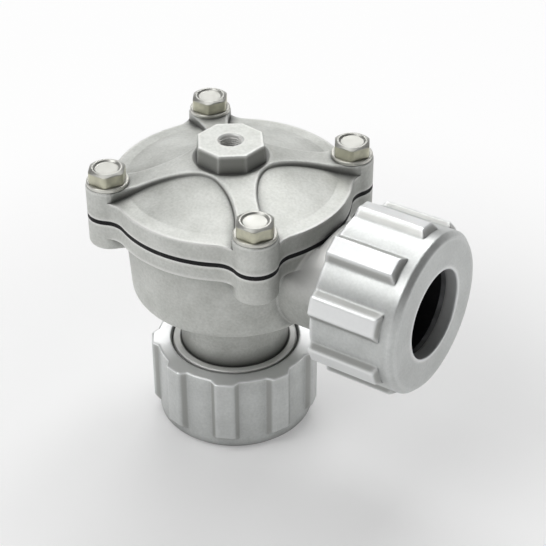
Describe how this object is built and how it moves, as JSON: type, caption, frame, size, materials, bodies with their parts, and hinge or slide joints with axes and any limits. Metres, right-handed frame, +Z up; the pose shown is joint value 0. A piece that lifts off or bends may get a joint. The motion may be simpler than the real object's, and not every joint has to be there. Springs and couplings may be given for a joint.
{
  "type": "right-angle diaphragm pulse valve",
  "caption": "Right-angle diaphragm valve for dust-filter cleaning pulses, with compression nuts for plain pipe at both ports and a pilot port on its cover.",
  "frame": {"origin": "centre of the outlet nut's lower face, on the outlet's axis", "axes": "+Z up along the outlet's axis towards the cover, +X out of the inlet port, -Z out of the outlet port"},
  "size_m": [0.1333, 0.0906, 0.1235],
  "materials": {
    "cast_aluminium": "die-cast, shot-blasted satin",
    "nut_aluminium": "die-cast, bright satin",
    "bolt_zinc": "yellowish zinc plate",
    "zinc_steel": "zinc plate",
    "spring_steel": "drawn wire",
    "rubber": "black, matt"
  },
  "bodies": {
    "root": {"body_casting": "cast_aluminium", "cover_casting": "cast_aluminium", "diaphragm": "rubber", "closing_spring": "spring_steel", "outlet_seal": "rubber", "inlet_seal": "rubber", "cover_bolt_1": "bolt_zinc", "bolt_washer_1": "bolt_zinc", "cover_bolt_2": "bolt_zinc", "bolt_washer_2": "bolt_zinc", "cover_bolt_3": "bolt_zinc", "bolt_washer_3": "bolt_zinc", "cover_bolt_4": "bolt_zinc", "bolt_washer_4": "bolt_zinc"},
    "poppet": {"seat_disc": "rubber", "backing_plate": "zinc_steel", "spring_plate": "zinc_steel", "diaphragm_screw": "zinc_steel", "diaphragm_nut": "zinc_steel"},
    "outlet_washer_group": {"outlet_slip_washer": "zinc_steel"},
    "outlet_nut_group": {"outlet_nut": "nut_aluminium"},
    "inlet_washer_group": {"inlet_slip_washer": "zinc_steel"},
    "inlet_nut_group": {"inlet_nut": "nut_aluminium"}
  },
  "joints": [
    {"name": "diaphragm_lift", "type": "slide", "parent": "root", "child": "poppet", "axis": [0, 0, 1], "range_m": [0, 0.007], "stiffness_N_per_m": 1200, "springref_m": -0.008, "deforming": ["diaphragm", "closing_spring"]},
    {"name": "outlet_nut_travel", "type": "slide", "parent": "root", "child": "outlet_washer_group", "axis": [0, 0, -1], "range_m": [0, 0.016]},
    {"name": "outlet_nut_turn", "type": "hinge", "parent": "outlet_washer_group", "child": "outlet_nut_group", "pos_m": [0, 0, 0], "axis": [0, 0, -1], "range_deg": [0, 2880]},
    {"name": "inlet_nut_travel", "type": "slide", "parent": "root", "child": "inlet_washer_group", "axis": [1, 0, 0], "range_m": [0, 0.016]},
    {"name": "inlet_nut_turn", "type": "hinge", "parent": "inlet_washer_group", "child": "inlet_nut_group", "pos_m": [0.088, 0, 0.079], "axis": [1, 0, 0], "range_deg": [0, 2880]}
  ],
  "couplings": [
    {"joint": "outlet_nut_travel", "follows": "outlet_nut_turn", "m_per_rad": 0.000318},
    {"joint": "inlet_nut_travel", "follows": "inlet_nut_turn", "m_per_rad": 0.000318}
  ]
}
